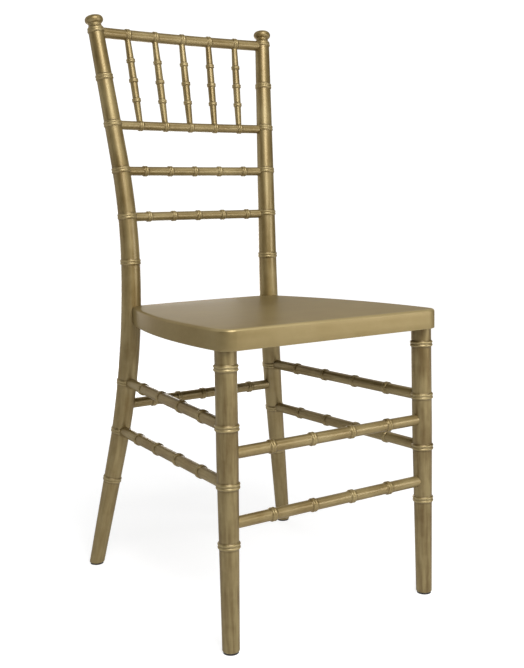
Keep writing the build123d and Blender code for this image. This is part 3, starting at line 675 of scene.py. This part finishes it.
# spindles between the crest rail and the rail below, fullest in the middle
spindle = {
    "diameters": (9.6, 11.6, 12.4, 11.5, 9.6),  # evenly spaced from the foot to the head
    "rings": 3, "ringPitch": 32.6, "ring": {"proud": 1.6, "height": 6.4, "groove": 0.25, "crown": 0.6},
    "endCut": 2.0, "step": 8.0, "sides": 24,
}
spindleSpans = len(spindle["diameters"]) - 1
crestRow = evenRow(rail["rings"], rail["crest"]["pitch"], 0.0)
footRow = evenRow(rail["rings"], rail["plain"]["pitch"], 0.0)
for i, (topX, footX) in enumerate(zip(crestRow, footRow)):
    foot = Vector(railPoint(railHeights["spindleRail"], footX))
    head = Vector(railPoint(railHeights["crestRail"], topX))
    length = (head - foot).length
    rings = evenRow(spindle["rings"], spindle["ringPitch"], length / 2)
    first, last = spindle["endCut"], length - spindle["endCut"]
    stops = ringStops(first, last, rings, spindle["ring"]["height"], spindle["step"])
    marks = [(length * k / spindleSpans, diameter / 2) for k, diameter in enumerate(spindle["diameters"])]
    piece = turnPiece(f"backSpindle{i + 1}", stops, lambda s: foot.lerp(head, s / length),
                      lambda s: along(marks, s), rings, spindle["ring"], spindle["sides"])
    settle(piece, [f"back_spindle_{i + 1}"])
print("spindles turned")

# seat: a shallow moulded tray turned upside down, with ribs beneath
seat = {
    "frontWidth": 372.0, "plate": 5.0, "wall": 4.0, "sideBow": 20.6, "rearBow": 8.0,
    "cornerRadius": 22.0, "rearRadius": 4.0, "cope": 16.7, "cornerOut": 1.8,
    "planSteps": {"front": 14, "corner": 14, "side": 30, "rearCorner": 6, "rear": 14},
    "leastRound": (1.0, 0.6), "edgeRound": 4.2, "edgeSteps": 9, "lowerRound": 1.2, "lowerSteps": 5,
    "innerFillet": 1.5, "filletMiddle": 0.3, "wallDraft": 0.2,
    "rimRise": 0.35, "rimSteps": 3, "rimTurn": 0.2,
    "innerLoop": 1.0, "skirtLoops": (9.0, 6.0),  # extra loops keep the walls' shading flat
    "crown": 1.2, "crownReach": 110.0,
    "topInsets": (7.0, 11.0, 18.0, 28.0, 42.0, 60.0, 80.0, 100.0, 118.0), "underInsets": (118.0, 60.0, 20.0),
    "ribs": 4, "rib": 2.6, "ribLift": 7.0, "bite": 1.0,  # ribs bite this far into the plate, half in a wall
    "bossDiameter": 30.4, "bossSides": 40, "blockWidth": 19.0, "blockStart": 16.0, "blockEnd": 50.1,
    "blockHeight": 24.0, "blockDrop": 17.0, "blockRound": 0.4, "boltAngle": 26.0, "boltLift": 15.0,
    # how far the painted highlight reaches over the upper edge, how it fades back from the front, and its
    # strength along the sides
    "highlightShare": 0.8, "highlightReach": (12.0, 40.0), "highlightSides": 0.15, "grainScale": (5, 30, 70),
}


def circleThrough(a, b, c):
    (ax, ay), (bx, by), (cx, cy) = a, b, c
    d = 2 * (ax * (by - cy) + bx * (cy - ay) + cx * (ay - by))
    x = ((ax**2 + ay**2) * (by - cy) + (bx**2 + by**2) * (cy - ay) + (cx**2 + cy**2) * (ay - by)) / d
    y = ((ax**2 + ay**2) * (cx - bx) + (bx**2 + by**2) * (ax - cx) + (cx**2 + cy**2) * (bx - ax)) / d
    return np.array([x, y]), math.hypot(ax - x, ay - y)


def arcPoints(centre, start, end, count):
    # points from start to end about centre, the short way round, without the last
    a = math.atan2(start[1] - centre[1], start[0] - centre[0])
    b = math.atan2(end[1] - centre[1], end[0] - centre[0])
    turn = (b - a + math.pi) % (2 * math.pi) - math.pi
    radius = math.hypot(start[0] - centre[0], start[1] - centre[1])
    angles = [a + turn * i / count for i in range(count)]
    return [(centre[0] + radius * math.cos(t), centre[1] + radius * math.sin(t)) for t in angles]


rearCornerX = post["x"] + seat["cornerOut"]
rearCornerY = post["y"] - along(postMarks, chair["seatTop"]) + seat["cope"]
frontCornerX = seat["frontWidth"] / 2
sideRun = np.array([rearCornerX - frontCornerX, rearCornerY - chair["front"]])
sideOut = np.array([sideRun[1], -sideRun[0]]) / np.hypot(*sideRun)
frontCorner, rearCorner = (frontCornerX, chair["front"]), (rearCornerX, rearCornerY)
sideMiddle = (np.array(frontCorner) + np.array(rearCorner)) / 2 + sideOut * seat["sideBow"]
sideCentre, sideRadius = circleThrough(frontCorner, sideMiddle, rearCorner)
rearMiddle = (0, rearCornerY + seat["rearBow"])
rearCentre, rearRadius = circleThrough(rearCorner, rearMiddle, (-rearCornerX, rearCornerY))


def seatPlan(inset):
    # the seat's outline drawn in by inset, always with the same number of points
    leastCorner, leastRear = seat["leastRound"]
    corner = max(seat["cornerRadius"] - inset, leastCorner)
    rearRound = max(seat["rearRadius"] - inset, leastRear)
    steps = seat["planSteps"]
    frontY = chair["front"] + inset
    sideR, rearR = sideRadius - inset, rearRadius - inset
    cy = frontY + corner
    cx = sideCentre[0] + math.sqrt((sideR - corner)**2 - (cy - sideCentre[1])**2)
    c = np.array([cx, cy])
    sideStart = sideCentre + (c - sideCentre) * sideR / (sideR - corner)
    # rear corner centre: inside both arcs
    r1, r2 = sideR - rearRound, rearR - rearRound
    d = rearCentre - sideCentre
    dist = np.hypot(*d)
    a = (r1**2 - r2**2 + dist**2) / (2 * dist)
    h = math.sqrt(max(r1**2 - a**2, 0))
    base = sideCentre + d * a / dist
    across = h * np.array([d[1], -d[0]]) / dist
    e = max((base + across, base - across), key=lambda p: p[0] + p[1])
    sideEnd = sideCentre + (e - sideCentre) * sideR / r1
    rearStart = rearCentre + (e - rearCentre) * rearR / r2
    rearMost = (0.0, rearCentre[1] + rearR)
    right = [(cx * i / steps["front"], frontY) for i in range(steps["front"])]
    right += arcPoints(c, (cx, frontY), sideStart, steps["corner"])
    right += arcPoints(sideCentre, sideStart, sideEnd, steps["side"])
    right += arcPoints(e, sideEnd, rearStart, steps["rearCorner"])
    right += arcPoints(rearCentre, rearStart, rearMost, steps["rear"])
    left = [(-x, y) for x, y in reversed(right[1:])]
    return right + [rearMost] + left


def crownAt(inset):
    # rise of the top towards its middle
    return seat["crown"] * (1 - (1 - min(inset / seat["crownReach"], 1))**2)


def seatLevels():
    # outline inset and height, from the plate's underside round the skirt to the middle of the top
    top, under = chair["seatTop"], chair["seatUnder"]
    plateUnder = top - seat["plate"]
    wall, fillet, draft = seat["wall"], seat["innerFillet"], seat["wallDraft"]
    levels = [(inset, plateUnder) for inset in seat["underInsets"] + (wall + fillet,)]
    bend = seat["filletMiddle"] * fillet
    levels += [(wall + bend, plateUnder - bend), (wall, plateUnder - fillet)]
    levels += [(wall - draft, under + seat["innerLoop"])]
    low, rise = seat["lowerRound"], seat["rimRise"]
    rim = [(i + 1) / seat["rimSteps"] for i in range(seat["rimSteps"])]
    levels += [(wall - 2 * draft - (low - draft) * t, under + rise * (1 - t)) for t in rim]
    turns = np.linspace(seat["rimTurn"], math.pi / 2, seat["lowerSteps"])
    levels += [(low * (1 - math.sin(t)), under + low * (1 - math.cos(t))) for t in turns]
    r = seat["edgeRound"]
    lowerLoop, upperLoop = seat["skirtLoops"]
    levels += [(0.0, under + lowerLoop), (0.0, top - r - upperLoop)]
    turns = np.linspace(0, math.pi / 2, seat["edgeSteps"])
    levels += [(r * (1 - math.cos(t)), top - r + r * math.sin(t)) for t in turns]
    levels += [(inset, top + crownAt(inset - r)) for inset in seat["topInsets"]]
    return levels


def paintedEdgeHighlight(inset, y, z):
    # painted highlight along the rounded upper edge and the skirt's lower rim, strongest at the front
    upper = inset < seat["edgeRound"] and z > chair["seatTop"] - seat["highlightShare"] * seat["edgeRound"]
    lower = inset < seat["lowerRound"] and z < chair["seatUnder"] + seat["lowerRound"]
    if not (upper or lower):
        return 0.0
    near, far = seat["highlightReach"]
    return along([(chair["front"] + near, 1.0), (chair["front"] + far, seat["highlightSides"])], y)


def addLoop(work, points, z):
    return [work.verts.new((x * mm, y * mm, z * mm)) for x, y in points]


def bridge(work, first, second):
    count = len(first)
    for i in range(count):
        j = (i + 1) % count
        work.faces.new((first[i], first[j], second[j], second[i]))


def closeLoop(work, loop):
    middle = sum((v.co for v in loop), Vector()) / len(loop)
    centre = work.verts.new(middle)
    for i in range(len(loop)):
        work.faces.new((loop[i], loop[(i + 1) % len(loop)], centre))


def addBlock(work, centre, size, turn=0.0):
    place = Matrix.Translation(Vector(centre) * mm) @ Matrix.Rotation(turn, 4, "Z")
    made = bmesh.ops.create_cube(work, size=1.0, matrix=place @ Matrix.Diagonal((*(Vector(size) * mm), 1)))
    edges = {e for v in made["verts"] for e in v.link_edges}
    bmesh.ops.bevel(work, geom=list(edges), offset=seat["blockRound"] * mm, segments=2, affect="EDGES")


def widthAt(y):
    # half width of the seat's inside at y
    wall = seat["wall"]
    side = sideCentre[0] + math.sqrt((sideRadius - wall)**2 - (y - sideCentre[1])**2)
    inFront = chair["front"] + seat["cornerRadius"] - y
    if inFront > 0:
        corner = seat["cornerRadius"] - wall
        bulge = math.sqrt(max(corner**2 - inFront**2, 0))
        side = min(side, frontCornerX - seat["cornerRadius"] + bulge)
    return side


def makeSeat():
    work = bmesh.new()
    levels = seatLevels()
    loops = [addLoop(work, seatPlan(inset), z) for inset, z in levels]
    for first, second in zip(loops, loops[1:]):
        bridge(work, first, second)
    closeLoop(work, loops[0])
    closeLoop(work, loops[-1])
    plateUnder = chair["seatTop"] - seat["plate"]
    low = chair["seatUnder"] + seat["ribLift"]
    high, bite = plateUnder + seat["bite"], seat["bite"]
    middleZ, tall = (low + high) / 2, high - low
    insideFront, insideRear = chair["front"] + seat["wall"], rearCornerY + seat["rearBow"] - seat["wall"]
    insideWidth = 2 * (sideCentre[0] + sideRadius - seat["wall"])
    for k in range(seat["ribs"]):
        y = insideFront + (insideRear - insideFront) * (k + 1) / (seat["ribs"] + 1)
        addBlock(work, (0, y, middleZ), (2 * widthAt(y) + bite, seat["rib"], tall))
        x = insideWidth * ((k + 1) / (seat["ribs"] + 1) - 0.5)
        rearY = rearCentre[1] + math.sqrt((rearRadius - seat["wall"])**2 - x**2) + bite / 2
        frontY = insideFront - bite / 2
        addBlock(work, (x, (frontY + rearY) / 2, middleZ), (seat["rib"], rearY - frontY, tall))
    blockZ = chair["seatTop"] - seat["blockDrop"]
    bossRadius = seat["bossDiameter"] / 2 * mm
    for side in (1, -1):
        # the block that holds the bolt's insert, in line with the bolt, and the boss round the leg's tenon
        bx, by, _ = postPoint(chair["seatUnder"] + seat["boltLift"], side)
        turn = math.radians(seat["boltAngle"]) * side
        away = (seat["blockStart"] + seat["blockEnd"]) / 2
        size = (seat["blockWidth"], seat["blockEnd"] - seat["blockStart"], seat["blockHeight"])
        addBlock(work, (bx - math.sin(turn) * away, by - math.cos(turn) * away, blockZ), size, -turn)
        lx, ly, _ = legPoint(chair["seatUnder"], side)
        boss = Matrix.Translation(Vector((lx, ly, blockZ)) * mm)
        bmesh.ops.create_cone(work, cap_ends=True, segments=seat["bossSides"], radius1=bossRadius,
                              radius2=bossRadius, depth=seat["blockHeight"] * mm, matrix=boss)
    mesh = bpy.data.meshes.new("seatShell")
    work.to_mesh(mesh)
    work.free()
    for face in mesh.polygons:
        face.use_smooth = True
    grain = mesh.attributes.new("grain", "FLOAT_VECTOR", "POINT")
    grain.data.foreach_set("vector", [n for v in mesh.vertices for n in v.co * Vector(seat["grainScale"])])
    # the seat's painted highlight along its edges
    crown = mesh.attributes.new("crown", "FLOAT", "POINT")
    edgeHighlight = [paintedEdgeHighlight(inset, y, z) for inset, z in levels for _, y in seatPlan(inset)]
    crown.data.foreach_set("value", edgeHighlight + [0.0] * (len(mesh.vertices) - len(edgeHighlight)))
    mesh.materials.append(seatFinish)
    return addPiece("seatShell", outward(mesh))


settle(makeSeat(), ["seat_shell"])
print("seat moulded")

# pieces whose CAD shape is already right keep it and get their finish
kept = {
    "bolt_cover_caps": goldFinish, "seat_rear_bolts": steelFinish,
    "front_leg_screws": steelFinish, "seat_inserts": brassFinish,
}
kept.update({f"{side}_{end}_glide": glideFinish for end in ("front", "rear") for side in ("left", "right")})
for node, finish in kept.items():
    slots = frame["nodes"][node].data.materials
    slots.clear()
    slots.append(finish)
print("kept nodes dressed:", len(kept))

# floor, light and camera
studio = {
    "floor": (0.40, 0.40, 0.40, 1), "floorRoughness": 0.9, "floorReach": 5.0, "floorEnd": 1.6,
    "wallCurve": 1.2, "curveFrom": 0.1, "curveSteps": 12, "wallHeight": 5.0,
    "glow": (0.82, 1.0), "glowReach": (0.5, 2.2), "world": 0.03, "aim": (0, 0, 0.45),
    "camera": (-0.7859, -1.2625, 0.5961), "azimuth": -32.472, "elevation": 7.437, "roll": -1.381,
    "lens": 50.813, "sensor": 36.0, "clip": (0.05, 50.0),
    "cards": {"side": 4.4, "front": -2.9, "rear": 1.2, "height": 4.0, "tone": (0.02, 0.02, 0.02, 1)},
}

lamps = {
    "keyLamp": {"place": (-0.28, -1.28, 1.78), "size": (0.95, 0.80), "power": 32.0},
    "leftLamp": {"place": (-1.04, -1.16, 2.26), "size": (0.50, 0.40), "power": 3.0},
    "frontLamp": {"place": (-0.40, -1.35, 1.00), "size": (0.50, 0.40), "power": 5.0},
    "rightLamp": {"place": (1.15, -0.72, 2.43), "size": (0.50, 0.40), "power": 6.0},
    "lowLamp": {"place": (0.95, -1.35, 0.60), "size": (0.60, 0.40), "power": 8.0},
    "backLamp": {"place": (0.50, 2.00, 0.40), "size": (1.20, 0.50), "power": 12.0},
}


def seenWhite(tree):
    # 1 for the camera and for what the chair mirrors or lets through, 0 for the light that falls on it
    light = addNode(tree, "ShaderNodeLightPath")
    total = addMath(tree, "ADD", light.outputs["Is Camera Ray"], light.outputs["Is Glossy Ray"])
    return addMath(tree, "ADD", total, light.outputs["Is Transmission Ray"], clamp=True)


def makeFloor():
    # a floor that runs up into a wall behind the chair, seen as white, with the chair's own shadow on it
    reach, end, curve = studio["floorReach"], studio["floorEnd"], studio["wallCurve"]
    turns = np.linspace(studio["curveFrom"], math.pi / 2, studio["curveSteps"])
    rows = [(-reach, 0.0), (end, 0.0)]
    rows += [(end + curve * math.sin(t), curve * (1 - math.cos(t))) for t in turns]
    rows += [(end + curve, studio["wallHeight"])]
    work = bmesh.new()
    lines = [[work.verts.new((x, y, z)) for x in (-reach, reach)] for y, z in rows]
    for low, high in zip(lines, lines[1:]):
        work.faces.new((low[0], low[1], high[1], high[0]))
    mesh = bpy.data.meshes.new("floor")
    work.to_mesh(mesh)
    work.free()
    for face in mesh.polygons:
        face.use_smooth = True
    material = bpy.data.materials.new("paleFloor")
    material.use_nodes = True
    tree = material.node_tree
    shader = tree.nodes["Principled BSDF"]
    shader.inputs["Base Color"].default_value = studio["floor"]
    shader.inputs["Roughness"].default_value = studio["floorRoughness"]
    shader.inputs["Specular IOR Level"].default_value = 0.0
    shader.inputs["Emission Color"].default_value = (1, 1, 1, 1)
    # less glow close to the chair, where the lamps make up the rest
    away = addNode(tree, "ShaderNodeVectorMath", operation="LENGTH")
    tree.links.new(addNode(tree, "ShaderNodeTexCoord").outputs["Object"], away.inputs[0])
    rise = addNode(tree, "ShaderNodeMapRange", interpolation_type="SMOOTHSTEP")
    limits = zip(("From Min", "From Max", "To Min", "To Max"), studio["glowReach"] + studio["glow"])
    for socket, value in limits:
        rise.inputs[socket].default_value = value
    tree.links.new(away.outputs["Value"], rise.inputs["Value"])
    glow = addMath(tree, "MULTIPLY", seenWhite(tree), rise.outputs[0])
    tree.links.new(glow, shader.inputs["Emission Strength"])
    mesh.materials.append(material)
    addPiece("floor", mesh)


def makeDarkCards():
    # dark cards round the front half of the studio, seen only in the paint's reflections
    cards = studio["cards"]
    side, front, rear = cards["side"], cards["front"], cards["rear"]
    corners = [(-side, rear), (-side, front), (side, front), (side, rear)]
    work = bmesh.new()
    low, high = ([work.verts.new((x, y, z)) for x, y in corners] for z in (0.0, cards["height"]))
    for i in range(len(corners) - 1):
        work.faces.new((low[i], low[i + 1], high[i + 1], high[i]))
    work.faces.new(high)
    mesh = bpy.data.meshes.new("darkCards")
    work.to_mesh(mesh)
    work.free()
    material = bpy.data.materials.new("darkCard")
    material.use_nodes = True
    shader = material.node_tree.nodes["Principled BSDF"]
    shader.inputs["Base Color"].default_value = cards["tone"]
    shader.inputs["Specular IOR Level"].default_value = 0.0
    mesh.materials.append(material)
    piece = addPiece("darkCards", mesh)
    piece.visible_camera = piece.visible_diffuse = piece.visible_shadow = False


def makeWorld():
    world = bpy.data.worlds.new("studio")
    world.use_nodes = True
    tree = world.node_tree
    background = tree.nodes["Background"]
    strength = addMath(tree, "MAXIMUM", seenWhite(tree), studio["world"])
    tree.links.new(strength, background.inputs["Strength"])
    background.inputs["Color"].default_value = (1, 1, 1, 1)
    bpy.context.scene.world = world


def addLamp(name, place, aim, size, power):
    data = bpy.data.lights.new(name, "AREA")
    data.shape = "RECTANGLE"
    data.size, data.size_y = size
    data.energy = power
    lamp = bpy.data.objects.new(name, data)
    lamp.location = place
    lamp.rotation_mode = "QUATERNION"
    lamp.rotation_quaternion = (Vector(aim) - Vector(place)).to_track_quat("-Z", "Y")
    bpy.context.scene.collection.objects.link(lamp)


def makeCamera():
    a, e, r = (math.radians(studio[k]) for k in ("azimuth", "elevation", "roll"))
    back = Vector((math.sin(a) * math.cos(e), -math.cos(a) * math.cos(e), math.sin(e)))
    right = Vector((0, 0, 1)).cross(back).normalized()
    up = back.cross(right)
    turned = right * math.cos(r) + up * math.sin(r)
    upright = up * math.cos(r) - right * math.sin(r)
    data = bpy.data.cameras.new("camera")
    data.lens = studio["lens"]
    data.sensor_width = studio["sensor"]
    data.clip_start, data.clip_end = studio["clip"]
    camera = bpy.data.objects.new("camera", data)
    axes = Matrix((turned, upright, back)).transposed()
    camera.matrix_world = Matrix.Translation(Vector(studio["camera"])) @ axes.to_4x4()
    bpy.context.scene.collection.objects.link(camera)
    bpy.context.scene.camera = camera


makeFloor()
makeDarkCards()
makeWorld()
for name, lamp in lamps.items():
    addLamp(name, lamp["place"], studio["aim"], lamp["size"], lamp["power"])
makeCamera()
bpy.context.scene.view_settings.view_transform = "Standard"
print("studio set")
